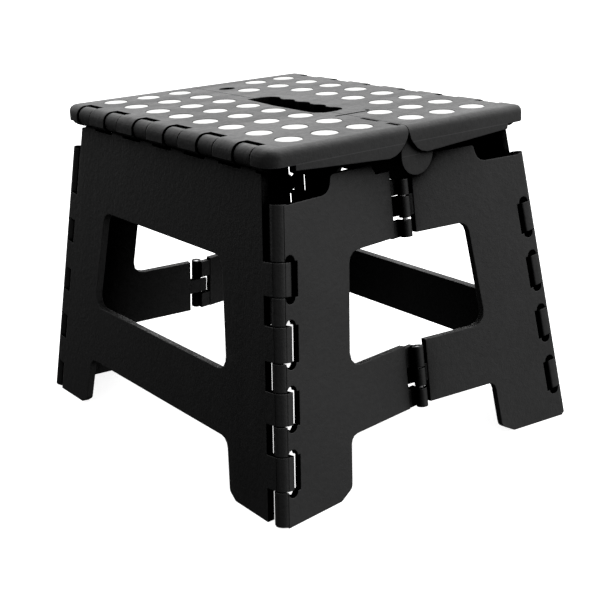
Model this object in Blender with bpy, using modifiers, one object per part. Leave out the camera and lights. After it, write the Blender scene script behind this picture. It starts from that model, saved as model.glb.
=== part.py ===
"""Folding step stool: two deck halves, two leg panels and two pairs of folding panels.

Metres, +Z up. The origin is on the floor under the middle of the deck. The deck folds
about a line along Y, so its halves are left (-X) and right (+X), and the folding panels
close the front (-Y) and the back (+Y). Only the left half and the front left panel are
drawn in full; their partners are mirror images with their own details added.
"""

import math

import bmesh
import bpy
from mathutils import Matrix, Vector

# Overall size
HEIGHT = 0.228
DECK_HALF_X = 0.1096
DECK_HALF_Y = 0.1306
FOOT_HALF_X = 0.1312
FOOT_HALF_Y = 0.1583
LEG_SLOPE = math.tan(math.radians(7.21))
FRONT_SLOPE = math.tan(math.radians(7.42))
CENTRE_SETBACK = 0.0144
PANEL = 0.005
GAP = 0.0003

# Hinge row between the deck and a leg
DECK_BARREL = 0.0076
HINGE_X = DECK_HALF_X - DECK_BARREL
HINGE_Z = HEIGHT - DECK_BARREL
END_FINGER = 0.0191
LEG_FINGER = 0.01975
FINGER_PITCH = 0.04065
FINGER_ROWS = 3
FINGER_PLAY = 0.0019
FINGER_BOWL = 0.0007
FINGER_DROP = 0.0012
FINGER_MOUTH = 0.0048
LEG_BARREL = 0.0070
PIN_STOP_Y = -0.1214
PIN_HEAD = 0.008
HINGE_PIN = 0.002

# Deck shell
DECK_PLATE = 0.0026
SKIRT_WALL = 0.0024
RIM_RADIUS = 0.005
PLAN_CORNER = 0.0100
SEAM = 0.00025
SEAM_Z = 0.2087
HINGE_BAR_X = 0.093
SKIRT_END_X = 0.090
LIP_Z = 0.217
SKIRT_Z = 0.2136

# Centre hinge of the deck, and how far its open side can drift while it folds
CENTRE_PIN = 0.002
CENTRE_KNUCKLE = 0.005
DRIFT_X = 0.0049
DRIFT_Z = 0.0052
DRIFT_RADIUS = 0.00715
BOSS_X = 0.0095
BOSS_Z = SEAM_Z - 0.0005
BOSS_RADIUS = 0.0136

# Tread dots
DOT_RADIUS = 0.00875
DOT_PITCH_X = 0.02806
DOT_PITCH_Y = 0.03089
DOT_FIRST_X = 0.0220
DOT_ROWS = 8
DOT_COLUMNS = 3
DOT_THICKNESS = 0.0009
DOT_POCKET = 0.0012
DOT_SIDES = 12

# Corner hinge between a leg and a folding panel
CORNER_BARREL = 0.00541
EDGE_INSET = 0.015
CORNER_PLAY = 0.0006
CORNER_REACH = 0.0052
CORNER_EDGE = 0.0016
CORNER_BACK = 0.0040
CORNER_FINGERS = ((0.0216, 0.0439), (0.0620, 0.0831), (0.1004, 0.1231), (0.1399, 0.1614))
SHOULDER_Z = 0.1948
NOTCH_INSET = 0.0094
NOTCH_RADIUS = 0.0040

# Centre hinge of a folding pair
FOLD_BARREL = 0.0040
FOLD_PIN = 0.00175
FOLD_AXIS_OUT = 0.0022
FOLD_AXIS_Z = 0.116
FOLD_EDGE = 0.0094
KNUCKLE_ROOT = 0.002
KNUCKLE_HEEL = 0.0058
WEB_INSET = 0.0004
HEEL_INSET = 0.0022
LEFT_KNUCKLES = ((0.1827, 0.1928), (0.1552, 0.1660), (0.0675, 0.0813), (0.0397, 0.0525))
RIGHT_KNUCKLES = ((0.1680, 0.1817), (0.0545, 0.0665))
FOLD_PINS = {"upper": (0.1556, 0.1924), "lower": (0.0401, 0.0809)}

# Handle slot: a bowed near edge in the left half, finger grooves in the right half
SLOT_FRONT_Y = -0.0512
SLOT_BACK_Y = 0.0390
SLOT_RIDGE_X = 0.0105
SLOT_GROOVE = 0.0055
SLOT_GROOVES = 5
SLOT_LIP_X = 0.0185
SLOT_LIP_Z = 0.2160

# Round-ended hanging hole behind the slot, and the short open marks in the tread
HANG_HOLE = (0.0147, 0.0970)
HANG_HOLE_RADII = (0.0068, 0.0055)

BLACK = (0.018, 0.018, 0.019, 1.0)
WHITE = (0.86, 0.86, 0.85, 1.0)
STEEL = (0.55, 0.55, 0.56, 1.0)

UP = Vector((0, 0, 1))
FAR = 0.4
XZ_FRAME = Matrix(((1, 0, 0, 0), (0, 0, -1, 0), (0, 1, 0, 0), (0, 0, 0, 1)))


# ---------------------------------------------------------------- scene helpers

def clear_scene():
    for item in list(bpy.data.objects):
        bpy.data.objects.remove(item, do_unlink=True)


def make_collection(name):
    group = bpy.data.collections.new(name)
    bpy.context.scene.collection.children.link(group)
    return group


def make_material(name, colour, roughness, metallic=0.0):
    material = bpy.data.materials.new(name)
    material.use_nodes = True
    shader = material.node_tree.nodes["Principled BSDF"]
    shader.inputs["Base Color"].default_value = colour
    shader.inputs["Roughness"].default_value = roughness
    shader.inputs["Metallic"].default_value = metallic
    return material


def object_from_bmesh(name, shape):
    bmesh.ops.recalc_face_normals(shape, faces=shape.faces)
    mesh = bpy.data.meshes.new(name)
    shape.to_mesh(mesh)
    shape.free()
    item = bpy.data.objects.new(name, mesh)
    bpy.context.scene.collection.objects.link(item)
    return item


def move_to(item, group):
    for owner in list(item.users_collection):
        owner.objects.unlink(item)
    group.objects.link(item)


def finish_part(item, material):
    move_to(item, PARTS)
    item.data.materials.clear()
    item.data.materials.append(material)
    item.data.shade_smooth()
    item.data.set_sharp_from_angle(angle=math.radians(35))
    return item


# ---------------------------------------------------------------- solids

def box(name, low, high):
    """A box between two corners."""
    shape = bmesh.new()
    bmesh.ops.create_cube(shape, size=1.0)
    size = [b - a for a, b in zip(low, high)]
    middle = [(a + b) / 2 for a, b in zip(low, high)]
    bmesh.ops.scale(shape, vec=size, verts=shape.verts)
    bmesh.ops.translate(shape, vec=middle, verts=shape.verts)
    return object_from_bmesh(name, shape)


def cylinder(name, radius, start, end, sides=12):
    """A round bar from one point to another."""
    start = Vector(start)
    end = Vector(end)
    shape = bmesh.new()
    length = (end - start).length
    bmesh.ops.create_cone(shape, cap_ends=True, segments=sides, radius1=radius,
                          radius2=radius, depth=length)
    turn = (end - start).to_track_quat("Z", "Y").to_matrix().to_4x4()
    bmesh.ops.transform(shape, matrix=Matrix.Translation((start + end) / 2) @ turn,
                        verts=shape.verts)
    return object_from_bmesh(name, shape)


def flat_solid(name, loops, low, high, frame):
    """Closed outlines filled and thickened from low to high along the frame's third axis."""
    curve = bpy.data.curves.new(name, "CURVE")
    curve.dimensions = "2D"
    curve.fill_mode = "BOTH"
    curve.extrude = (high - low) / 2
    for loop in loops:
        spline = curve.splines.new("POLY")
        spline.points.add(len(loop) - 1)
        for point, place in zip(spline.points, loop):
            point.co = (place[0], place[1], 0, 1)
        spline.use_cyclic_u = True
    drawn = bpy.data.objects.new(name, curve)
    bpy.context.scene.collection.objects.link(drawn)
    drawn.matrix_world = frame @ Matrix.Translation((0, 0, (low + high) / 2))
    bpy.context.view_layer.update()
    graph = bpy.context.evaluated_depsgraph_get()
    mesh = bpy.data.meshes.new_from_object(drawn.evaluated_get(graph))
    shape = bmesh.new()
    shape.from_mesh(mesh)
    bmesh.ops.remove_doubles(shape, verts=shape.verts, dist=1e-6)
    bmesh.ops.transform(shape, matrix=drawn.matrix_world, verts=shape.verts)
    bpy.data.objects.remove(drawn, do_unlink=True)
    bpy.data.meshes.remove(mesh)
    return object_from_bmesh(name, shape)


def joined(name, items):
    """One object that holds several solids which don't touch each other."""
    shape = bmesh.new()
    for item in items:
        shape.from_mesh(item.data)
        bpy.data.objects.remove(item, do_unlink=True)
    return object_from_bmesh(name, shape)


def apply_boolean(target, other, operation):
    """Add or cut another solid, keep the result, and file the other solid as a cutter."""
    modifier = target.modifiers.new(operation.title(), "BOOLEAN")
    modifier.operation = operation
    modifier.object = other
    modifier.solver = "EXACT"
    bake(target)
    move_to(other, CUTTERS)
    other.hide_render = True
    other.display_type = "WIRE"


def bake(item):
    """Replace an object's mesh by the mesh its modifiers make."""
    bpy.context.view_layer.update()
    graph = bpy.context.evaluated_depsgraph_get()
    mesh = bpy.data.meshes.new_from_object(item.evaluated_get(graph))
    item.modifiers.clear()
    item.data = mesh


def add(target, other):
    apply_boolean(target, other, "UNION")


def cut(target, other):
    apply_boolean(target, other, "DIFFERENCE")


def round_edges(item, width, segments):
    modifier = item.modifiers.new("Rounded", "BEVEL")
    modifier.width = width
    modifier.segments = segments
    modifier.limit_method = "ANGLE"
    modifier.angle_limit = math.radians(60)
    modifier.use_clamp_overlap = False
    bake(item)


def round_upright_edges(item, x, radius, segments):
    """Rounds a box's vertical edges at one x."""
    shape = bmesh.new()
    shape.from_mesh(item.data)
    chosen = []
    for edge in shape.edges:
        first, second = (vert.co for vert in edge.verts)
        if abs(first.x - x) + abs(second.x - x) + abs(first.y - second.y) < GAP:
            chosen.append(edge)
    bmesh.ops.bevel(shape, geom=chosen, offset=radius, offset_type="OFFSET", segments=segments,
                    profile=0.5, affect="EDGES")
    shape.to_mesh(item.data)
    shape.free()


def mirrored(source, name, axis):
    """A mirror image of a finished part, through the middle plane of the stool."""
    shape = bmesh.new()
    shape.from_mesh(source.data)
    flip = Matrix.Scale(-1, 4, axis)
    bmesh.ops.transform(shape, matrix=flip, verts=shape.verts)
    return object_from_bmesh(name, shape)


def turned(source, name):
    """A copy of a finished part turned half round about the middle of the stool."""
    item = mirrored(source, name, Vector((1, 0, 0)))
    other = mirrored(item, name, Vector((0, 1, 0)))
    bpy.data.objects.remove(item, do_unlink=True)
    other.name = name
    return other


# ---------------------------------------------------------------- outlines

def arc(centre, radius, start, end, steps):
    """Points on a circle from one angle to another, in degrees."""
    points = []
    for step in range(steps + 1):
        angle = math.radians(start + (end - start) * step / steps)
        points.append((centre[0] + radius * math.cos(angle), centre[1] + radius * math.sin(angle)))
    return points


def rounded(corners, steps=3):
    """An outline with each corner (x, y, radius) turned into an arc."""
    points = []
    count = len(corners)
    for index, (x, y, radius) in enumerate(corners):
        here = Vector((x, y))
        if radius == 0:
            points.append((x, y))
            continue
        before = (Vector(corners[index - 1][:2]) - here).normalized()
        after = (Vector(corners[(index + 1) % count][:2]) - here).normalized()
        half = before.angle(after) / 2
        middle = here + (before + after).normalized() * radius / math.sin(half)
        first = here + before * radius / math.tan(half) - middle
        last = here + after * radius / math.tan(half) - middle
        turn = first.angle_signed(last)
        for step in range(steps + 1):
            spoke = first.copy()
            spoke.rotate(Matrix.Rotation(-turn * step / steps, 2))
            points.append(tuple(middle + spoke))
    return points


# ---------------------------------------------------------------- panel planes and axes

def leg_frame():
    """Left leg: Y across, the slope up, and depth inwards from the outer face."""
    up = Vector((LEG_SLOPE, 0, 1)).normalized()
    across = Vector((0, 1, 0))
    inward = across.cross(up)
    frame = Matrix((across, up, inward)).transposed().to_4x4()
    frame.translation = (-FOOT_HALF_X, 0, 0)
    return frame


def front_plane_y(x, z):
    """Y of the front left panel's outer face; x is negative."""
    apex = FOOT_HALF_X / LEG_SLOPE
    setback = CENTRE_SETBACK * (1 - z / apex)
    half_width = FOOT_HALF_X - z * LEG_SLOPE
    return -(FOOT_HALF_Y - z * FRONT_SLOPE) + setback * (1 + x / half_width)


def front_frame():
    """Front left panel: across towards the middle, up its slope, and depth inwards."""
    corner = Vector((-FOOT_HALF_X, front_plane_y(-FOOT_HALF_X, 0), 0))
    middle = Vector((0, front_plane_y(0, 0), 0))
    high = Vector((0, front_plane_y(0, HEIGHT), HEIGHT))
    across = (middle - corner).normalized()
    inward = across.cross(high - middle).normalized()
    if inward.y < 0:
        inward = -inward
    up = inward.cross(across)
    frame = Matrix((across, up, inward)).transposed().to_4x4()
    frame.translation = middle
    return frame


def on_leg(y, z):
    """Local outline place of a point on the left leg's outer face."""
    place = leg_frame().inverted() @ Vector((-FOOT_HALF_X + z * LEG_SLOPE, y, z))
    return place.x, place.y


def on_front(x, z):
    """Local outline place of a point on the front left panel's outer face."""
    place = front_frame().inverted() @ Vector((x, front_plane_y(x, z), z))
    return place.x, place.y


def corner_axis(z):
    """Point at a height on the line where the left leg and the front left panel turn."""
    leg = leg_frame()
    front = front_frame()
    normals = Matrix((leg.col[2].xyz, front.col[2].xyz, UP))
    depths = Vector((leg.col[2].xyz.dot(leg.translation) + CORNER_BARREL,
                     front.col[2].xyz.dot(front.translation) + CORNER_BARREL, z))
    return normals.inverted() @ depths


def fold_axis(z):
    """Point at a height on the line where the front pair folds; all its hinge lines meet."""
    low = corner_axis(0)
    rise = corner_axis(1) - low
    apex = low - rise * (low.x / rise.x)
    frame = front_frame()
    outward = -frame.col[2].xyz
    level = (outward.dot(frame.translation) + FOLD_AXIS_OUT - outward.z * FOLD_AXIS_Z) / outward.y
    anchor = Vector((0, level, FOLD_AXIS_Z))
    return anchor + (apex - anchor) * ((z - FOLD_AXIS_Z) / (apex.z - FOLD_AXIS_Z))


# ---------------------------------------------------------------- shared hinge features

def leg_finger_spans():
    """Y spans of the leg's fingers in the deck's hinge row."""
    spans = []
    for row in range(FINGER_ROWS):
        outer = DECK_HALF_Y - END_FINGER - row * FINGER_PITCH
        spans.append((outer - LEG_FINGER, outer))
        spans.append((-outer, -outer + LEG_FINGER))
    return sorted(spans)


def open_spans(spans, low, high):
    """The stretches between spans, out to the two ends."""
    edges = [low]
    for start, end in spans:
        edges += [start, end]
    edges.append(high)
    return list(zip(edges[::2], edges[1::2]))


# ---------------------------------------------------------------- leg panel

def leg_outline():
    """Outer edge of a leg panel, with two feet and a notch between them."""
    half = [
        (corner_axis(0).y, 0, 0),
        (-0.107, 0, 0.003),
        (-0.0998, 0.0045, 0.004),
        (-0.0938, 0.0385, 0.008),
    ]
    top = (corner_axis(HINGE_Z).y, HINGE_Z, 0)
    other = [(-y, z, radius) for y, z, radius in reversed(half)]
    corners = half + other + [(-top[0], top[1], 0), top]
    return rounded([(*on_leg(y, z), radius) for y, z, radius in corners])


def leg_window():
    corners = [(-0.0774, 0.1545), (-0.0893, 0.0815), (0.0893, 0.0815), (0.0774, 0.1545)]
    return rounded([(*on_leg(y, z), 0.009) for y, z in corners], 4)


def corner_blocks(name, spans, across):
    """Blocks square to the corner line, reaching from outside the corner to the panel edge."""
    axis = (corner_axis(1) - corner_axis(0)).normalized()
    side = (across - axis * across.dot(axis)).normalized()
    frame = Matrix((side, axis.cross(side), axis)).transposed().to_4x4()
    frame.translation = corner_axis(0)
    blocks = [box("block", (-0.03, -0.03, low / axis.z), (EDGE_INSET - CORNER_BARREL, 0.03, high / axis.z))
              for low, high in spans]
    item = joined(name, blocks)
    item.data.transform(frame)
    return item


def corner_fill(name, across, outer, inner):
    """Squares off corner fingers along `across`, from outer to inner beside the corner line."""
    axis = (corner_axis(1) - corner_axis(0)).normalized()
    side = (across - axis * across.dot(axis)).normalized()
    frame = Matrix((side, axis.cross(side), axis)).transposed().to_4x4()
    frame.translation = corner_axis(0)
    loop = rounded([(0, outer, 0), (CORNER_REACH, outer, CORNER_EDGE),
                    (CORNER_REACH, inner, CORNER_EDGE), (0, inner, 0)])
    return flat_solid(name, [loop], -0.001, SHOULDER_Z / axis.z, frame)


def floor_block():
    """The space under the floor, which levels the sloping panels' feet."""
    return box("floor", (-FAR, -FAR, -0.05), (FAR, FAR, 0))


def make_leg():
    frame = leg_frame()
    leg = flat_solid("leg_left", [leg_outline(), leg_window()], 0, PANEL, frame)
    for side in (1, -1):
        ends = [corner_axis(z) for z in (-0.001, SHOULDER_Z)]
        ends = [Vector((end.x, side * end.y, end.z)) for end in ends]
        add(leg, cylinder("leg_corner_barrel", CORNER_BARREL, ends[0], ends[1]))
    near = corner_fill("leg_corner_fill", front_frame().col[0].xyz, -CORNER_BARREL, CORNER_BARREL)
    add(leg, mirrored(near, "leg_corner_fill_back", Vector((0, 1, 0))))
    add(leg, near)
    row_end = DECK_HALF_Y - END_FINGER - FINGER_PLAY
    add(leg, cylinder("leg_top_barrel", LEG_BARREL, (-HINGE_X, -row_end, HINGE_Z),
                      (-HINGE_X, row_end, HINGE_Z), 16))
    cut_corner_gaps(leg)
    cut_top_gaps(leg)
    cut(leg, floor_block())
    cut(leg, cylinder("leg_pin_bore", HINGE_PIN + 1.2 * GAP, (-HINGE_X, -FAR, HINGE_Z),
                      (-HINGE_X, FAR, HINGE_Z)))
    return leg


def cut_corner_gaps(leg):
    """Room at both side edges for the folding panels' fingers."""
    spans = open_spans([(a + CORNER_PLAY, b - CORNER_PLAY) for a, b in CORNER_FINGERS], -0.01, 0.24)
    near = corner_blocks("leg_corner_gaps", spans, Vector((0, 1, 0)))
    far = mirrored(near, "leg_corner_gaps_back", Vector((0, 1, 0)))
    cut(leg, near)
    cut(leg, far)


def cut_top_gaps(leg):
    """Room along the top edge for the deck's fingers."""
    blocks = []
    for low, high in open_spans(leg_finger_spans(), -FAR, FAR):
        blocks.append(box("gap", (-0.13, low - FINGER_PLAY, HINGE_Z - DECK_BARREL - FINGER_DROP),
                          (-0.08, high + FINGER_PLAY, HEIGHT + 0.01)))
    cut(leg, joined("leg_top_gaps", blocks))


# ---------------------------------------------------------------- folding panel

def front_outline():
    """C-shaped edge of the front left panel; its open side faces the middle of the stool."""
    corners = [
        (corner_axis(0).x, 0, 0),
        (-0.0800, 0, 0.004),
        (-0.0695, 0.0055, 0.005),
        (-0.0655, 0.0395, 0.006),
        (-FOLD_EDGE, 0.0395, 0),
        (-FOLD_EDGE, 0.0830, 0),
        (-0.0612, 0.0830, 0.009),
        (-0.0517, 0.1560, 0.008),
        (-FOLD_EDGE, 0.1560, 0),
        (-FOLD_EDGE, 0.1990, 0),
        (-0.0220, 0.1990, 0.002),
        (-0.0260, 0.2060, 0.002),
        (-0.0610, 0.2060, 0.002),
        (-0.0640, SHOULDER_Z, 0.008),
        (corner_axis(SHOULDER_Z).x, SHOULDER_Z, 0),
    ]
    return rounded([(*on_front(x, z), radius) for x, z, radius in corners])


def make_front_panel():
    """Front left panel without its centre knuckles."""
    frame = front_frame()
    panel = flat_solid("folding_panel", [front_outline()], 0, PANEL, frame)
    add(panel, cylinder("panel_corner_barrel", CORNER_BARREL, corner_axis(0), corner_axis(SHOULDER_Z)))
    add(panel, corner_fill("panel_corner_fill", Vector((0, 1, 0)), -CORNER_BARREL, CORNER_BACK))
    cut(panel, corner_blocks("panel_corner_gaps", CORNER_FINGERS, frame.col[0].xyz))
    cut(panel, floor_block())
    notches = []
    for z in [height for span in CORNER_FINGERS for height in span]:
        edge = -(FOOT_HALF_X - z * LEG_SLOPE)
        across, up = on_front(edge + NOTCH_INSET, z)
        notches.append(cylinder("notch", NOTCH_RADIUS, frame @ Vector((across, up, -0.01)),
                                frame @ Vector((across, up, 0.02))))
    cut(panel, joined("panel_snap_notches", notches))
    return panel


def knuckle_plate(name, span, reach, inset, step):
    """Plate from inside the panel to x = reach, set back a little further for each step."""
    low = span[0] + step * GAP
    high = span[1] - step * GAP
    root = -FOLD_EDGE - KNUCKLE_ROOT - step * GAP
    loop = [on_front(root, low), on_front(reach, low), on_front(reach, high), on_front(root, high)]
    return flat_solid(name, [loop], inset, PANEL - WEB_INSET - step * GAP, front_frame())


def add_knuckles(panel, spans, heeled, right):
    """Barrels on the fold line with webs to the centre edge; a heel fills the partner's gap."""
    for span in spans:
        solids = [knuckle_plate("knuckle_web", span, -WEB_INSET, WEB_INSET, 0)]
        if heeled:
            solids.append(knuckle_plate("knuckle_heel", span, KNUCKLE_HEEL, HEEL_INSET, 1))
        solids.append(cylinder("knuckle_barrel", FOLD_BARREL, fold_axis(span[0]), fold_axis(span[1])))
        for solid in solids:
            if right:
                other = mirrored(solid, solid.name, Vector((1, 0, 0)))
                bpy.data.objects.remove(solid, do_unlink=True)
                solid = other
            add(panel, solid)
    cut(panel, cylinder("fold_pin_bore", FOLD_PIN + 1.2 * GAP, fold_axis(-0.01), fold_axis(0.24)))


def make_folding_panels():
    """Front pair, then the back pair as the same two parts turned half round."""
    left = make_front_panel()
    right = mirrored(left, "folding_panel_front_right", Vector((1, 0, 0)))
    add_knuckles(left, LEFT_KNUCKLES, heeled=False, right=False)
    add_knuckles(right, RIGHT_KNUCKLES, heeled=True, right=True)
    left.name = "folding_panel_front_left"
    backs = [turned(left, "folding_panel_back_right"), turned(right, "folding_panel_back_left")]
    return [left, right] + backs


# ---------------------------------------------------------------- deck

def outside_crown():
    """Everything outside the round outer edge over the hinge row."""
    crown = arc((-HINGE_X, HINGE_Z), DECK_BARREL, 90, 180, 6)
    return [(-0.13, 0.19), (-DECK_HALF_X, 0.19)] + crown[::-1] + [(-HINGE_X, 0.24), (-0.13, 0.24)]


def deck_underside():
    """Everything below the skirt and past the seam; the seam falls back towards its foot."""
    seam_curve = [(0.00025, 0.0155), (0.0016, 0.0110), (0.0036, 0.0080), (0.0074, 0.0040),
                  (0.0110, 0.0018), (0.0160, 0.0006)]
    seam_points = [(-x, SEAM_Z + z) for x, z in seam_curve]
    return ([(-FAR, SEAM_Z - 0.05), (FAR, SEAM_Z - 0.05), (FAR, HEIGHT + 0.05),
             (-SEAM, HEIGHT + 0.05)] + seam_points
            + [(-SKIRT_END_X, SKIRT_Z), (-SKIRT_END_X, LIP_Z), (-FAR, LIP_Z)])


def finger_cutout():
    """Room for one leg finger: round behind the hinge line, open above and outside it."""
    radius = DECK_BARREL + FINGER_BOWL
    mouth = math.degrees(math.acos(FINGER_MOUTH / radius))
    bowl = arc((-HINGE_X, HINGE_Z), radius, mouth, -90, 7)
    return [(FINGER_MOUTH - HINGE_X, HEIGHT + 0.01)] + bowl + [(-0.13, HINGE_Z - radius), (-0.13, HEIGHT + 0.01)]


def dot_places(side):
    """Centres of the tread dots on one half; the handle takes five places on the right."""
    places = []
    for row in range(DOT_ROWS):
        for column in range(DOT_COLUMNS):
            taken = side > 0 and column == 0 and row in (0, 2, 3, 4, 5)
            if not taken:
                x = side * (DOT_FIRST_X + column * DOT_PITCH_X)
                y = ((DOT_ROWS - 1) / 2 - row) * DOT_PITCH_Y
                places.append((x, y))
    return places


def make_plain_deck():
    """Left deck half with its hinge row, before the seam details and the dot pockets."""
    deck = box("deck_half", (-DECK_HALF_X, -DECK_HALF_Y, SEAM_Z - 0.012), (0.010, DECK_HALF_Y, HEIGHT))
    round_upright_edges(deck, -DECK_HALF_X, PLAN_CORNER, 5)
    round_edges(deck, RIM_RADIUS, 4)
    cut(deck, flat_solid("deck_crown", [outside_crown()], -0.2, 0.2, XZ_FRAME))
    inner = DECK_HALF_Y - SKIRT_WALL
    cut(deck, box("deck_cavity", (-HINGE_BAR_X, -inner, SEAM_Z - 0.05),
                  (0.03, inner, HEIGHT - DECK_PLATE)))
    cut(deck, flat_solid("deck_underside", [deck_underside()], -0.2, 0.2, XZ_FRAME))
    row_end = DECK_HALF_Y - PLAN_CORNER
    add(deck, cylinder("deck_barrel", DECK_BARREL - 0.00005, (-HINGE_X, -row_end, HINGE_Z),
                       (-HINGE_X, row_end, HINGE_Z), 16))
    rooms = [flat_solid("room", [finger_cutout()], -high, -low, XZ_FRAME)
             for low, high in leg_finger_spans()]
    cut(deck, joined("deck_finger_rooms", rooms))
    cut(deck, cylinder("deck_pin_bore", HINGE_PIN + 1.2 * GAP, (-HINGE_X, PIN_STOP_Y, HINGE_Z),
                       (-HINGE_X, FAR, HINGE_Z)))
    for y in (-0.0840, 0.0, 0.0840):
        add(deck, box("deck_rib", (-HINGE_BAR_X - 0.002, y - 0.001, 0.2160),
                      (-0.0400, y + 0.001, HEIGHT - DECK_PLATE + 0.0008)))
    return deck


def lug(name, loops, low, high):
    """A flat hinge ear between two Y positions."""
    return flat_solid(name, loops, -high, -low, XZ_FRAME)


def left_lug_outlines():
    """Ear that carries the centre pin, hung from the left half's plate."""
    top = HEIGHT - DECK_PLATE + 0.0008
    nose = arc((0, SEAM_Z), CENTRE_KNUCKLE, 60, -120, 8)
    eye = arc((0, SEAM_Z), CENTRE_PIN + 1.2 * GAP, 0, 330, 11)
    return [[(-0.0160, top), (-0.0020, top)] + nose + [(-0.0160, SEAM_Z + 0.0075)], eye]


def right_lug_outlines():
    """Ring ear on the right half; its wide eye leaves room while the halves fold."""
    top = HEIGHT - DECK_PLATE + 0.0008
    middle = (DRIFT_X, SEAM_Z + DRIFT_Z)
    eye_radius = DRIFT_RADIUS + CENTRE_PIN + GAP
    ring = arc(middle, eye_radius + 0.00145, 111, 382, 16)
    return [[(0.0010, top)] + ring + [(0.0150, top)], arc(middle, eye_radius, 0, 345, 23)]


def boss_outline():
    """Round boss that hangs behind the skirt at the end of the seam."""
    top = HEIGHT - DECK_PLATE + 0.0008
    round_end = arc((BOSS_X, BOSS_Z), BOSS_RADIUS, 180, 360, 14)
    return [(0.0006, top), (-0.0010, SEAM_Z + 0.0140), (BOSS_X - BOSS_RADIUS, SEAM_Z + 0.0095)
            ] + round_end + [(BOSS_X + BOSS_RADIUS, top)]


def add_left_lugs(deck):
    for y in (0.0580, 0.1030):
        for side in (1, -1):
            low, high = sorted((side * y, side * (y + 0.005)))
            add(deck, lug("left_lug", left_lug_outlines(), low, high))


def add_right_lugs(deck):
    for y in (0.0640, 0.1090):
        for side in (1, -1):
            low, high = sorted((side * y, side * (y + 0.005)))
            add(deck, lug("right_lug", right_lug_outlines(), low, high))
    for side in (1, -1):
        low, high = sorted((side * 0.1244, side * 0.1279))
        add(deck, lug("boss", [boss_outline()], low, high))


def handle_slot_outline():
    """Hand slot's part in the right half, with finger grooves along its far edge."""
    pitch = (SLOT_BACK_Y - SLOT_FRONT_Y) / SLOT_GROOVES
    points = [(-0.001, SLOT_FRONT_Y), (SLOT_RIDGE_X * 0.6, SLOT_FRONT_Y)]
    for groove in range(SLOT_GROOVES):
        for share in (0.12, 0.3, 0.5, 0.7, 0.88):
            reach = SLOT_GROOVE * math.sin(math.pi * share)
            points.append((SLOT_RIDGE_X + reach, SLOT_FRONT_Y + pitch * (groove + share)))
    return points + [(SLOT_RIDGE_X * 0.6, SLOT_BACK_Y), (-0.001, SLOT_BACK_Y)]


def slot_bow_outline():
    """Bow that the hand slot takes out of the left half."""
    return rounded([(0.01, SLOT_BACK_Y, 0), (-0.0062, SLOT_BACK_Y, 0.001), (-0.0102, 0, 0.040),
                    (-0.0102, -0.0440, 0.006), (-0.0040, SLOT_FRONT_Y, 0.004),
                    (0.01, SLOT_FRONT_Y, 0)], 4)


def add_slot_lip(deck):
    """Wall under the plate round the hand slot, clear of the seam."""
    top = HEIGHT - DECK_PLATE + 0.0008
    loop = [(0.0045, SLOT_LIP_Z), (SLOT_LIP_X, SLOT_LIP_Z), (SLOT_LIP_X, top), (0.0009, top)]
    add(deck, lug("slot_lip", [loop], SLOT_FRONT_Y - 0.0022, SLOT_BACK_Y + 0.0022))


def cut_dot_pockets(deck, side):
    pockets = [cylinder("pocket", DOT_RADIUS + GAP, (x, y, HEIGHT - DOT_POCKET), (x, y, HEIGHT + 0.002),
                        DOT_SIDES) for x, y in dot_places(side)]
    cut(deck, joined("dot_pockets", pockets))


def cut_tread_marks(deck):
    """Slots beside the seam, the joint line past the handle with its dimple, the hanging hole."""
    under = HEIGHT - DECK_PLATE - 0.001
    pocket = HEIGHT - 0.0014
    slots = [((-0.0036, -0.1035, under), (-0.0009, -0.0868, 0.3)),
             ((-0.0046, -0.1245, under), (-0.0010, -0.1135, 0.3)),
             ((-0.0090, -0.0686, pocket), (0.0205, -0.0662, 0.3))]
    solids = [box("mark", low, high) for low, high in slots]
    solids.append(cylinder("dimple", 0.0016, (0.0222, -0.0640, pocket), (0.0222, -0.0640, 0.3), 8))
    hole = cylinder("hanging_hole", 1.0, (0, 0, under), (0, 0, 0.3), 20)
    place = Matrix.Translation((*HANG_HOLE, 0)) @ Matrix.Diagonal((*HANG_HOLE_RADII, 1, 1))
    hole.data.transform(place)
    cut(deck, joined("tread_marks", solids + [hole]))


def make_decks():
    left = make_plain_deck()
    right = mirrored(left, "deck_right", Vector((1, 0, 0)))
    add_left_lugs(left)
    add_right_lugs(right)
    add_slot_lip(right)
    cut(left, flat_solid("slot_bow", [slot_bow_outline()], SEAM_Z, 0.3, Matrix.Identity(4)))
    cut(right, flat_solid("hand_slot", [handle_slot_outline()], SEAM_Z, 0.3, Matrix.Identity(4)))
    for deck, side in ((left, -1), (right, 1)):
        cut_dot_pockets(deck, side)
        cut_tread_marks(deck)
    left.name = "deck_left"
    return left, right


# ---------------------------------------------------------------- small pieces

def make_dots():
    for label, side in (("left", -1), ("right", 1)):
        for number, (x, y) in enumerate(dot_places(side), 1):
            dot = cylinder(f"tread_dot_{label}_{number:02d}", DOT_RADIUS, (x, y, HEIGHT - DOT_THICKNESS),
                           (x, y, HEIGHT), DOT_SIDES)
            finish_part(dot, white)


def make_pins():
    row_end = -PIN_STOP_Y - 2 * GAP
    for label, side in (("left", -1), ("right", 1)):
        x = side * HINGE_X
        finish_part(cylinder(f"hinge_pin_leg_{label}", HINGE_PIN, (x, -row_end, HINGE_Z),
                             (x, row_end + PIN_HEAD, HINGE_Z)), steel)
    for label, side in (("front", -1), ("back", 1)):
        low, high = sorted((side * 0.0565, side * 0.1155))
        finish_part(cylinder(f"hinge_pin_deck_{label}", CENTRE_PIN, (0, low, SEAM_Z),
                             (0, high, SEAM_Z)), steel)
        for height, (bottom, top) in FOLD_PINS.items():
            start, end = fold_axis(bottom), fold_axis(top)
            start.y *= -side
            end.y *= -side
            finish_part(cylinder(f"hinge_pin_fold_{label}_{height}", FOLD_PIN, start, end), steel)


def make_stool():
    left_leg = make_leg()
    right_leg = mirrored(left_leg, "leg_right", Vector((1, 0, 0)))
    for part in (left_leg, right_leg, *make_folding_panels(), *make_decks()):
        finish_part(part, black)
    make_dots()
    make_pins()


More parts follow.
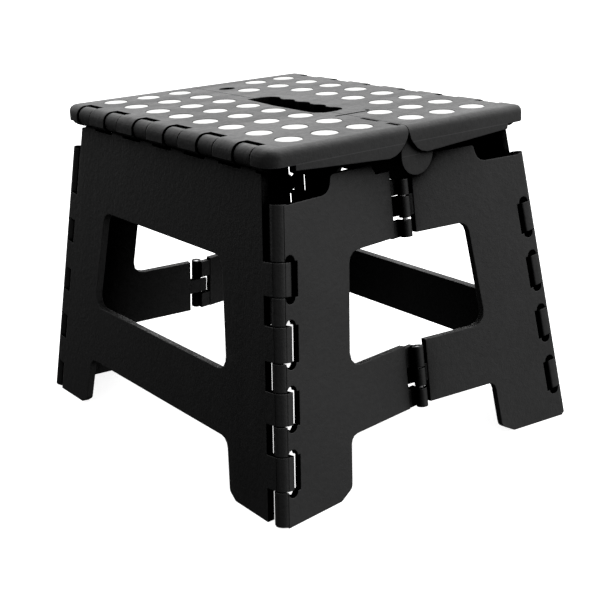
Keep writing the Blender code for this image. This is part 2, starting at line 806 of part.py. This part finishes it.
clear_scene()
PARTS = make_collection("Step stool")
CUTTERS = make_collection("Cutters")
black = make_material("black_polypropylene", BLACK, 0.45)
white = make_material("white_rubber", WHITE, 0.6)
steel = make_material("bright_steel", STEEL, 0.3, 1.0)
make_stool()
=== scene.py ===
"""Folding step stool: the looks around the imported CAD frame."""

import math

import bmesh
import bpy
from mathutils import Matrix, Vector

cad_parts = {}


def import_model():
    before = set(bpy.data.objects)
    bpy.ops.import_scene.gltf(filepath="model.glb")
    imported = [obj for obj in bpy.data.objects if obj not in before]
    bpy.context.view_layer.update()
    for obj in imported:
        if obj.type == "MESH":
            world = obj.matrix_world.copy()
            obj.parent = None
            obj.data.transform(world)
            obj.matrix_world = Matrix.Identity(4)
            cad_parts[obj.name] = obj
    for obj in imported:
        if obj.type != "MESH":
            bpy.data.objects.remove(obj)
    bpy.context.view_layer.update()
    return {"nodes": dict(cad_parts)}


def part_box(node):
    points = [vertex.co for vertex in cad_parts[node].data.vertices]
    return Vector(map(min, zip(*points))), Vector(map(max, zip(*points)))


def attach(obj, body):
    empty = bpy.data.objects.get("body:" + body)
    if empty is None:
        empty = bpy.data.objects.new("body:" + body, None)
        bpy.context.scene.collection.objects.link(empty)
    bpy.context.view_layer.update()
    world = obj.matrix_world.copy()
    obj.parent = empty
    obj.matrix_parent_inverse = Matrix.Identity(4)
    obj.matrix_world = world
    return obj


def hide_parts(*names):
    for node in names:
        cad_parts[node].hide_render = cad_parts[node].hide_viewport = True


# Camera: where it stands, what it looks at, its roll and its lens.
CAMERA_PLACE = Vector((-0.48728, -0.66492, 0.35962))
CAMERA_TARGET = Vector((0.00607, 0.0, 0.07814))
CAMERA_ROLL = 0.0392
CAMERA_LENS = 68.93
SENSOR_WIDTH = 36.0
CAMERA_CLIP = (0.01, 50.0)

# Grip dots: a disc with a rounded edge and a slightly crowned top.
DOT_SIDES = 40
DOT_CROWN_RINGS = 6
DOT_EDGE_RINGS = 5
DOT_EDGE_RADIUS = 0.0005
DOT_CROWN = 0.00018

# Studio: patches of light as (direction, strength, tightness), and the weak light all round.
LIGHT_ALL_ROUND = 0.01
LIGHT_PATCHES = (
    ((0.50, 0.70, 0.52), 2.05, 3.0),
    ((0.62, -0.78, 0.05), 0.90, 4.0),
    ((-0.2, -0.1, 1.0), 0.45, 2.0),
    ((-0.9, -0.4, 0.25), 0.18, 3.0),
    ((0.56, -0.31, 0.75), 2.2, 8.0),
)
SOFTBOX_PLACE = (0.25, 0.10, 1.5)
SOFTBOX_AIM = (0, 0, 0.1)
SOFTBOX_SIZE = 1.2
SOFTBOX_POWER = 9.0
FLOOR_REACH = 6.0
FLOOR_DROP = 0.0003
FLOOR_GLOW = 0.86
FLOOR_CLOUD_SCALE = 6.0

# Colours.
WHITE = (1.0, 1.0, 1.0, 1.0)
PLASTIC_DARK = (0.0040, 0.0041, 0.0043, 1.0)
PLASTIC_PALE = (0.0068, 0.0069, 0.0071, 1.0)
PLASTIC_SCUFF = (0.016, 0.016, 0.0165, 1.0)
# Paler edge colour: partly rubbed wear, partly a painted edge highlight.
PLASTIC_WORN_AND_HIGHLIGHT = (0.034, 0.034, 0.035, 1.0)
# Paler colour of the mould parting lines: a painted highlight on the seam.
PLASTIC_LINE_HIGHLIGHT = (0.030, 0.030, 0.031, 1.0)
PLASTIC_SHADE = (0.0005, 0.0005, 0.0005, 1.0)
RUBBER_DARK = (0.66, 0.66, 0.65, 1.0)
RUBBER_PALE = (0.74, 0.74, 0.73, 1.0)
RUBBER_DUST = (0.55, 0.54, 0.52, 1.0)
STEEL_DARK = (0.42, 0.42, 0.43, 1.0)
STEEL_PALE = (0.56, 0.56, 0.56, 1.0)
FLOOR_DARK = (0.78, 0.78, 0.78, 1.0)
FLOOR_PALE = (0.82, 0.82, 0.82, 1.0)

# CAD meshes.
SMOOTH_ANGLE = math.radians(33)
WELD_DISTANCE = 2e-6

# Edges: the radius they are rounded to in shading, and how far the rounded normal leans from
# the face (as a cosine) where the paler edge, partly rubbed wear and partly a painted highlight,
# starts and where it is full.
EDGE_RADIUS = 0.0009
EDGE_SAMPLES = 6
EDGE_LEAN = (0.995, 0.90)

# Recess shading: how far it looks, and the openness that is black and the one that is full.
SHADE_REACH = 0.14
SHADE_SAMPLES = 8
SHADE_OPENNESS = (0.76, 0.99)

# Parting lines, painted paler as a highlight on the mould seam: heights, the half width that is
# solid and the one where the line has faded.
PARTING_LEVELS = (0.2173, 0.2080)
PARTING_HALF_WIDTH = (0.00012, 0.00042)
PARTING_HIGHLIGHT_SHARE = 0.8
PARTING_SHINE = 0.08

# Plastic: pattern scales per metre, shares of the colours, roughness and relief.
GRAIN_SCALE = 1900.0
PEBBLE_SCALE = 620.0
MOTTLE_SCALE = 260.0
CLOUD_SCALE = 22.0
FLOW_SCALE = 9.0
FLOW_STRETCH = (1.0, 4.0, 1.0)
SCUFF_SCALE = 60.0
SCUFF_STRETCH = (1.0, 0.25, 0.6)
SCUFF_LEVELS = (0.60, 0.74)
SCUFF_SHARE = 0.35
SCUFF_DULLNESS = 0.06
# Paler edges, partly rubbed wear and partly a painted highlight: noise scale, levels, colour
# share and gloss.
WEAR_AND_HIGHLIGHT_SCALE = 240.0
WEAR_AND_HIGHLIGHT_LEVELS = (0.35, 0.62)
WEAR_AND_HIGHLIGHT_SHARE = 0.55
WEAR_SHINE = 0.09
MOTTLE_LEVELS = (0.35, 0.65)
MOTTLE_ROUGHNESS = 0.03
PATTERN_LEVELS = (0.3, 0.7)
PLASTIC_ROUGHNESS = (0.45, 0.55)
PLASTIC_SPECULAR = 0.5
PLASTIC_IOR = 1.49
PEBBLE_WEIGHT = 1.6
MOTTLE_WEIGHT = 4.0
PLASTIC_RELIEF = 0.00009
PLASTIC_RELIEF_STRENGTH = 0.75

# Rubber of the grip dots.
RUBBER_CLOUD_SCALE = 150.0
RUBBER_SPECK_SCALE = 900.0
RUBBER_SPECK_LEVELS = (0.66, 0.76)
RUBBER_SPECK_SHARE = 0.25
RUBBER_GRAIN_SCALE = 2400.0
RUBBER_ROUGHNESS = (0.55, 0.66)
RUBBER_RELIEF = 0.00004
RUBBER_RELIEF_STRENGTH = 0.4
RUBBER_IOR = 1.46

# Steel of the hinge pins.
STEEL_LINE_SCALE = 900.0
STEEL_LINE_STRETCH = (1.0, 0.04, 1.0)
STEEL_STAIN_SCALE = 120.0
STEEL_ROUGHNESS = (0.28, 0.42)
STEEL_RELIEF = 0.00003
STEEL_RELIEF_STRENGTH = 0.5


# ---------------------------------------------------------------- node helpers


def new_material(name):
    material = bpy.data.materials.new(name)
    material.use_nodes = True
    material.node_tree.nodes.clear()
    return material


def add_node(tree, kind, **values):
    node = tree.nodes.new(kind)
    for name, value in values.items():
        setattr(node, name, value)
    return node


def feed(tree, socket, value):
    """A link if value is a socket, otherwise the socket's own number."""
    if isinstance(value, bpy.types.NodeSocket):
        tree.links.new(value, socket)
    else:
        socket.default_value = value


def maths(tree, operation, first, second):
    node = add_node(tree, "ShaderNodeMath", operation=operation)
    feed(tree, node.inputs[0], first)
    feed(tree, node.inputs[1], second)
    return node.outputs[0]


def span(tree, value, low, high, to_low=0.0, to_high=1.0):
    """value carried from low..high to to_low..to_high, smoothly, and held outside."""
    node = add_node(tree, "ShaderNodeMapRange", interpolation_type="SMOOTHSTEP")
    feed(tree, node.inputs["Value"], value)
    feed(tree, node.inputs["From Min"], low)
    feed(tree, node.inputs["From Max"], high)
    feed(tree, node.inputs["To Min"], to_low)
    feed(tree, node.inputs["To Max"], to_high)
    return node.outputs["Result"]


def noise(tree, where, scale, detail=2.0, roughness=0.5, stretch=None):
    if stretch:
        mapping = add_node(tree, "ShaderNodeMapping")
        feed(tree, mapping.inputs["Vector"], where)
        mapping.inputs["Scale"].default_value = stretch
        where = mapping.outputs["Vector"]
    node = add_node(tree, "ShaderNodeTexNoise")
    feed(tree, node.inputs["Vector"], where)
    node.inputs["Scale"].default_value = scale
    node.inputs["Detail"].default_value = detail
    node.inputs["Roughness"].default_value = roughness
    return node.outputs["Fac"]


def mix_colour(tree, share, first, second):
    node = add_node(tree, "ShaderNodeMix", data_type="RGBA")
    feed(tree, node.inputs[0], share)
    feed(tree, node.inputs[6], first)
    feed(tree, node.inputs[7], second)
    return node.outputs[2]


def bump(tree, height, distance, strength=1.0, normal=None):
    node = add_node(tree, "ShaderNodeBump")
    node.inputs["Strength"].default_value = strength
    node.inputs["Distance"].default_value = distance
    feed(tree, node.inputs["Height"], height)
    if normal is not None:
        feed(tree, node.inputs["Normal"], normal)
    return node.outputs["Normal"]


def rounded_normal(tree, radius):
    node = add_node(tree, "ShaderNodeBevel", samples=EDGE_SAMPLES)
    node.inputs["Radius"].default_value = radius
    return node.outputs["Normal"]


def edge_share(tree, rounded):
    """1 on the crest of an edge, 0 on flat faces."""
    geometry = add_node(tree, "ShaderNodeNewGeometry")
    dot = add_node(tree, "ShaderNodeVectorMath", operation="DOT_PRODUCT")
    feed(tree, dot.inputs[0], rounded)
    feed(tree, dot.inputs[1], geometry.outputs["Normal"])
    return span(tree, dot.outputs["Value"], *EDGE_LEAN)


def openness(tree, reach):
    """1 on open faces, lower in recesses and inside the stool."""
    node = add_node(tree, "ShaderNodeAmbientOcclusion", samples=SHADE_SAMPLES)
    node.inputs["Distance"].default_value = reach
    return node.outputs["AO"]


def object_place(tree):
    return add_node(tree, "ShaderNodeTexCoord").outputs["Object"]


def finish_material(tree, shader):
    output = add_node(tree, "ShaderNodeOutputMaterial")
    tree.links.new(shader.outputs[0], output.inputs["Surface"])


# ---------------------------------------------------------------- materials


def parting_line_highlight(tree, where):
    """Thin witness lines of the mould round the deck's skirt and the end boss, where a paler
    painted highlight goes.
    """
    height = add_node(tree, "ShaderNodeSeparateXYZ")
    feed(tree, height.inputs[0], where)
    level = height.outputs["Z"]
    lines = 0.0
    for line in PARTING_LEVELS:
        away = maths(tree, "ABSOLUTE", maths(tree, "SUBTRACT", level, line), 0.0)
        line_here = span(tree, away, *PARTING_HALF_WIDTH, 1.0, 0.0)
        lines = maths(tree, "MAXIMUM", line_here, lines)
    return lines


def make_plastic(name, parted):
    """Black moulded polypropylene.

    It has a fine spark-eroded grain, faint flow and scuffs, and edges painted paler, partly
    rubbed wear and partly a painted highlight.
    """
    material = new_material(name)
    tree = material.node_tree
    where = object_place(tree)
    rounded = rounded_normal(tree, EDGE_RADIUS)
    edges = edge_share(tree, rounded)
    grain = noise(tree, where, GRAIN_SCALE, detail=2.0, roughness=0.6)
    pebble = noise(tree, where, PEBBLE_SCALE, detail=2.0, roughness=0.55)
    mottle = noise(tree, where, MOTTLE_SCALE, detail=3.0, roughness=0.6)
    cloud = noise(tree, where, CLOUD_SCALE, detail=4.0, roughness=0.6)
    flow = noise(tree, where, FLOW_SCALE, detail=3.0, roughness=0.65, stretch=FLOW_STRETCH)
    scuff = noise(tree, where, SCUFF_SCALE, detail=6.0, roughness=0.7, stretch=SCUFF_STRETCH)
    scuffs = span(tree, scuff, *SCUFF_LEVELS)
    # Edge crests painted paler: partly rubbed wear, partly a painted highlight, broken up by
    # noise.
    wear_and_highlight_break = span(tree, noise(tree, where, WEAR_AND_HIGHLIGHT_SCALE, detail=3.0), *WEAR_AND_HIGHLIGHT_LEVELS)
    wear_and_highlight = maths(tree, "MULTIPLY", edges, wear_and_highlight_break)
    black = mix_colour(tree, cloud, PLASTIC_DARK, PLASTIC_PALE)
    scuffed = mix_colour(tree, maths(tree, "MULTIPLY", scuffs, SCUFF_SHARE), black, PLASTIC_SCUFF)
    worn_and_highlit = mix_colour(tree, maths(tree, "MULTIPLY", wear_and_highlight, WEAR_AND_HIGHLIGHT_SHARE), scuffed, PLASTIC_WORN_AND_HIGHLIGHT)
    rough = span(tree, flow, *PATTERN_LEVELS, *PLASTIC_ROUGHNESS)
    rough = maths(tree, "ADD", rough, maths(tree, "MULTIPLY", scuffs, SCUFF_DULLNESS))
    rough = maths(tree, "SUBTRACT", rough, maths(tree, "MULTIPLY", wear_and_highlight, WEAR_SHINE))
    uneven = span(tree, mottle, *MOTTLE_LEVELS, -MOTTLE_ROUGHNESS, MOTTLE_ROUGHNESS)
    rough = maths(tree, "ADD", rough, uneven)
    relief = maths(tree, "ADD", grain, maths(tree, "MULTIPLY", pebble, PEBBLE_WEIGHT))
    relief = maths(tree, "ADD", relief, maths(tree, "MULTIPLY", mottle, MOTTLE_WEIGHT))
    normal = bump(tree, relief, PLASTIC_RELIEF, PLASTIC_RELIEF_STRENGTH, rounded)
    if parted:
        # Parting lines painted paler: a painted highlight where the mould seam catches light.
        lines = maths(tree, "MULTIPLY", parting_line_highlight(tree, where), PARTING_HIGHLIGHT_SHARE)
        worn_and_highlit = mix_colour(tree, lines, worn_and_highlit, PLASTIC_LINE_HIGHLIGHT)
        rough = maths(tree, "SUBTRACT", rough, maths(tree, "MULTIPLY", lines, PARTING_SHINE))
    light = span(tree, openness(tree, SHADE_REACH), *SHADE_OPENNESS)
    shaded = mix_colour(tree, light, PLASTIC_SHADE, worn_and_highlit)
    shader = add_node(tree, "ShaderNodeBsdfPrincipled")
    feed(tree, shader.inputs["Base Color"], shaded)
    specular = maths(tree, "MULTIPLY", light, PLASTIC_SPECULAR)
    feed(tree, shader.inputs["Specular IOR Level"], specular)
    feed(tree, shader.inputs["Roughness"], rough)
    feed(tree, shader.inputs["Normal"], normal)
    shader.inputs["IOR"].default_value = PLASTIC_IOR
    finish_material(tree, shader)
    return material


def make_rubber():
    """White thermoplastic rubber, very slightly warm, matt, with a little handling dust."""
    material = new_material("white_grip_rubber")
    tree = material.node_tree
    where = object_place(tree)
    cloud = noise(tree, where, RUBBER_CLOUD_SCALE, detail=3.0)
    speck = span(tree, noise(tree, where, RUBBER_SPECK_SCALE), *RUBBER_SPECK_LEVELS)
    white = mix_colour(tree, cloud, RUBBER_DARK, RUBBER_PALE)
    specks = maths(tree, "MULTIPLY", speck, RUBBER_SPECK_SHARE)
    dusty = mix_colour(tree, specks, white, RUBBER_DUST)
    grain = noise(tree, where, RUBBER_GRAIN_SCALE)
    shader = add_node(tree, "ShaderNodeBsdfPrincipled")
    feed(tree, shader.inputs["Base Color"], dusty)
    feed(tree, shader.inputs["Roughness"], span(tree, cloud, *PATTERN_LEVELS, *RUBBER_ROUGHNESS))
    feed(tree, shader.inputs["Normal"], bump(tree, grain, RUBBER_RELIEF, RUBBER_RELIEF_STRENGTH))
    shader.inputs["IOR"].default_value = RUBBER_IOR
    finish_material(tree, shader)
    return material


def make_steel():
    """Drawn steel wire pin: fine lengthwise draw lines and a dull, oiled finish."""
    material = new_material("drawn_steel_pin")
    tree = material.node_tree
    where = object_place(tree)
    lines = noise(tree, where, STEEL_LINE_SCALE, detail=3.0, stretch=STEEL_LINE_STRETCH)
    stain = noise(tree, where, STEEL_STAIN_SCALE, detail=4.0)
    colour = mix_colour(tree, stain, STEEL_DARK, STEEL_PALE)
    shader = add_node(tree, "ShaderNodeBsdfPrincipled")
    feed(tree, shader.inputs["Base Color"], colour)
    feed(tree, shader.inputs["Roughness"], span(tree, lines, *PATTERN_LEVELS, *STEEL_ROUGHNESS))
    feed(tree, shader.inputs["Normal"], bump(tree, lines, STEEL_RELIEF, STEEL_RELIEF_STRENGTH))
    shader.inputs["Metallic"].default_value = 1.0
    finish_material(tree, shader)
    return material


# ---------------------------------------------------------------- CAD nodes


def make_smoothing():
    """Node group: smooth shading, with every edge over the limit angle kept sharp."""
    group = bpy.data.node_groups.new("smooth_by_angle", "GeometryNodeTree")
    group.is_modifier = True
    group.interface.new_socket("Mesh", in_out="INPUT", socket_type="NodeSocketGeometry")
    group.interface.new_socket("Mesh", in_out="OUTPUT", socket_type="NodeSocketGeometry")
    source = add_node(group, "NodeGroupInput")
    angle = add_node(group, "GeometryNodeInputMeshEdgeAngle")
    above = add_node(group, "FunctionNodeCompare", data_type="FLOAT", operation="GREATER_THAN")
    above.inputs[1].default_value = SMOOTH_ANGLE
    faces = add_node(group, "GeometryNodeSetShadeSmooth", domain="FACE")
    edges = add_node(group, "GeometryNodeSetShadeSmooth", domain="EDGE")
    flat = add_node(group, "FunctionNodeBooleanMath", operation="NOT")
    sink = add_node(group, "NodeGroupOutput")
    links = group.links
    links.new(angle.outputs["Unsigned Angle"], above.inputs[0])
    links.new(above.outputs["Result"], flat.inputs[0])
    links.new(source.outputs[0], faces.inputs["Geometry"])
    links.new(faces.outputs[0], edges.inputs["Geometry"])
    links.new(flat.outputs[0], edges.inputs["Shade Smooth"])
    links.new(edges.outputs[0], sink.inputs[0])
    return group


def dress(node, material, smoothing):
    """A CAD node keeps its mesh and gets its material, welded seams and smooth shading."""
    node.data.materials.clear()
    node.data.materials.append(material)
    weld = node.modifiers.new("weld", "WELD")
    weld.merge_threshold = WELD_DISTANCE
    smooth = node.modifiers.new("smooth", "NODES")
    smooth.node_group = smoothing


# ---------------------------------------------------------------- grip dots


def dot_profile(radius, height):
    """Half section of a dot, from its bottom rim up round its edge to near the crown."""
    edge = min(DOT_EDGE_RADIUS, height / 2)
    shoulder = height - DOT_CROWN
    points = [(radius, 0.0)]
    for step in range(DOT_EDGE_RINGS + 1):
        turn = math.pi / 2 * step / DOT_EDGE_RINGS
        points.append(
            (radius - edge + edge * math.cos(turn), shoulder - edge + edge * math.sin(turn))
        )
    flat = radius - edge
    for step in range(1, DOT_CROWN_RINGS):
        reach = 1 - step / DOT_CROWN_RINGS
        points.append((flat * reach, shoulder + DOT_CROWN * (1 - reach * reach)))
    return points


def make_dot(name, low, high, material):
    """A crowned disc that fills a CAD dot's box."""
    centre = (low + high) / 2
    half = (high - low) / 2
    radius = min(half.x, half.y)
    height = high.z - low.z
    profile = dot_profile(radius, height)
    mesh = bpy.data.meshes.new(name)
    body = bmesh.new()
    rings = []
    for reach, level in profile:
        ring = []
        for side in range(DOT_SIDES):
            turn = 2 * math.pi * side / DOT_SIDES
            ring.append(
                body.verts.new(
                    (
                        reach * math.cos(turn) * half.x / radius,
                        reach * math.sin(turn) * half.y / radius,
                        level - height / 2,
                    )
                )
            )
        rings.append(ring)
    for lower, upper in zip(rings, rings[1:]):
        for side in range(DOT_SIDES):
            after = (side + 1) % DOT_SIDES
            body.faces.new((lower[side], lower[after], upper[after], upper[side]))
    top = body.verts.new((0.0, 0.0, height / 2))
    for side in range(DOT_SIDES):
        body.faces.new((rings[-1][side], rings[-1][(side + 1) % DOT_SIDES], top))
    body.faces.new(list(reversed(rings[0])))
    for face in body.faces:
        face.smooth = len(face.verts) < DOT_SIDES
    body.to_mesh(mesh)
    body.free()
    mesh.materials.append(material)
    dot = bpy.data.objects.new(name, mesh)
    dot.location = centre
    bpy.context.scene.collection.objects.link(dot)
    return dot


def make_dots(frame, material):
    for node in sorted(frame["nodes"]):
        if not node.startswith("tread_dot_"):
            continue
        low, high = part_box(node)
        dot = make_dot(node.replace("tread_dot", "grip_dot"), low, high, material)
        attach(dot, "deck_left" if "_left_" in node else "deck_right")
        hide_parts(node)


# ---------------------------------------------------------------- studio


def glow(tree, direction, strength, tightness):
    """A soft patch of studio light in the world, round a direction."""
    place = add_node(tree, "ShaderNodeTexCoord")
    dot = add_node(tree, "ShaderNodeVectorMath", operation="DOT_PRODUCT")
    feed(tree, dot.inputs[0], place.outputs["Generated"])
    dot.inputs[1].default_value = Vector(direction).normalized()
    facing = maths(tree, "MAXIMUM", dot.outputs["Value"], 0.0)
    return maths(tree, "MULTIPLY", maths(tree, "POWER", facing, tightness), strength)


def make_world():
    world = bpy.data.worlds.new("studio")
    bpy.context.scene.world = world
    world.use_nodes = True
    tree = world.node_tree
    tree.nodes.clear()
    light = LIGHT_ALL_ROUND
    for direction, strength, tightness in LIGHT_PATCHES:
        light = maths(tree, "ADD", light, glow(tree, direction, strength, tightness))
    studio = add_node(tree, "ShaderNodeBackground")
    studio.inputs["Color"].default_value = WHITE
    tree.links.new(light, studio.inputs["Strength"])
    backdrop = add_node(tree, "ShaderNodeBackground")
    backdrop.inputs["Color"].default_value = WHITE
    seen = add_node(tree, "ShaderNodeLightPath")
    mix = add_node(tree, "ShaderNodeMixShader")
    output = add_node(tree, "ShaderNodeOutputWorld")
    tree.links.new(seen.outputs["Is Camera Ray"], mix.inputs[0])
    tree.links.new(studio.outputs[0], mix.inputs[1])
    tree.links.new(backdrop.outputs[0], mix.inputs[2])
    tree.links.new(mix.outputs[0], output.inputs["Surface"])


def make_lights():
    box = bpy.data.lights.new("overhead_softbox", "AREA")
    box.shape = "RECTANGLE"
    box.size = SOFTBOX_SIZE
    box.size_y = SOFTBOX_SIZE
    box.energy = SOFTBOX_POWER
    lamp = bpy.data.objects.new("overhead_softbox", box)
    lamp.location = SOFTBOX_PLACE
    lamp.rotation_mode = "QUATERNION"
    lamp.rotation_quaternion = (Vector(SOFTBOX_AIM) - lamp.location).to_track_quat("-Z", "Y")
    bpy.context.scene.collection.objects.link(lamp)


def make_floor():
    material = new_material("pale_floor")
    tree = material.node_tree
    diffuse = add_node(tree, "ShaderNodeBsdfDiffuse")
    where = object_place(tree)
    cloud = noise(tree, where, FLOOR_CLOUD_SCALE, detail=3.0)
    feed(tree, diffuse.inputs["Color"], mix_colour(tree, cloud, FLOOR_DARK, FLOOR_PALE))
    pale = add_node(tree, "ShaderNodeEmission")
    pale.inputs["Strength"].default_value = FLOOR_GLOW
    both = add_node(tree, "ShaderNodeAddShader")
    tree.links.new(diffuse.outputs[0], both.inputs[0])
    tree.links.new(pale.outputs[0], both.inputs[1])
    finish_material(tree, both)
    mesh = bpy.data.meshes.new("studio_floor")
    reach = FLOOR_REACH
    corners = [(-reach, -reach, 0), (reach, -reach, 0), (reach, reach, 0), (-reach, reach, 0)]
    mesh.from_pydata(corners, [], [(0, 1, 2, 3)])
    mesh.materials.append(material)
    floor = bpy.data.objects.new("studio_floor", mesh)
    floor.location.z = -FLOOR_DROP
    floor.visible_glossy = False
    floor.visible_diffuse = False
    floor.visible_shadow = False
    bpy.context.scene.collection.objects.link(floor)


def make_camera():
    lens = bpy.data.cameras.new("camera")
    lens.lens = CAMERA_LENS
    lens.sensor_width = SENSOR_WIDTH
    lens.clip_start, lens.clip_end = CAMERA_CLIP
    camera = bpy.data.objects.new("camera", lens)
    forward = (CAMERA_TARGET - CAMERA_PLACE).normalized()
    right = forward.cross(Vector((0, 0, 1))).normalized()
    up = right.cross(forward)
    turned_right = math.cos(CAMERA_ROLL) * right - math.sin(CAMERA_ROLL) * up
    turned_up = math.sin(CAMERA_ROLL) * right + math.cos(CAMERA_ROLL) * up
    matrix = camera.matrix_world.copy()
    for axis, column in enumerate((turned_right, turned_up, -forward, CAMERA_PLACE)):
        for row in range(3):
            matrix[row][axis] = column[row]
    camera.matrix_world = matrix
    bpy.context.scene.collection.objects.link(camera)
    bpy.context.scene.camera = camera


def main():
    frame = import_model()
    plastic = make_plastic("black_moulded_plastic", parted=False)
    tread = make_plastic("black_moulded_tread", parted=True)
    rubber = make_rubber()
    steel = make_steel()
    smoothing = make_smoothing()
    for name, node in frame["nodes"].items():
        if name.startswith("tread_dot_"):
            dress(node, rubber, smoothing)
        elif name.startswith("hinge_pin_"):
            dress(node, steel, smoothing)
        elif name.startswith("deck_"):
            dress(node, tread, smoothing)
        else:
            dress(node, plastic, smoothing)
    make_dots(frame, rubber)
    make_world()
    make_lights()
    make_floor()
    make_camera()
    bpy.context.scene.view_settings.view_transform = "Standard"


main()
